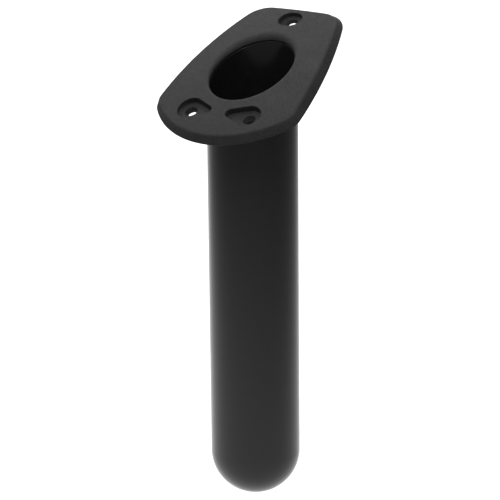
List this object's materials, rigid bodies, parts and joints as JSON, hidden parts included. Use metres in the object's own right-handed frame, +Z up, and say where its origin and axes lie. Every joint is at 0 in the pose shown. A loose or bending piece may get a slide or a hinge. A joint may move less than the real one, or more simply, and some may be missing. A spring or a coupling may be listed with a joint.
{
  "type": "flush mount rod holder",
  "caption": "Raked flush-mount fishing rod holder: a kite-shaped flange head with pocketed screw holes, bonded to a closed round tube.",
  "frame": {"origin": "where the tube's axis crosses the flange's seating plane", "axes": "+Z up the tube's axis towards the mouth, +X towards the flange's narrow high end, XZ the plane of symmetry"},
  "size_m": [0.0924, 0.0884, 0.2579],
  "materials": {
    "head_nylon": "charcoal black, fine spark-eroded grain, matt",
    "tube_nylon": "black, smooth satin",
    "bond_adhesive": "cured black adhesive, low gloss"
  },
  "bodies": {
    "root": {"head": "head_nylon", "tube": "tube_nylon", "bond_ring": "bond_adhesive"}
  },
  "joints": []
}
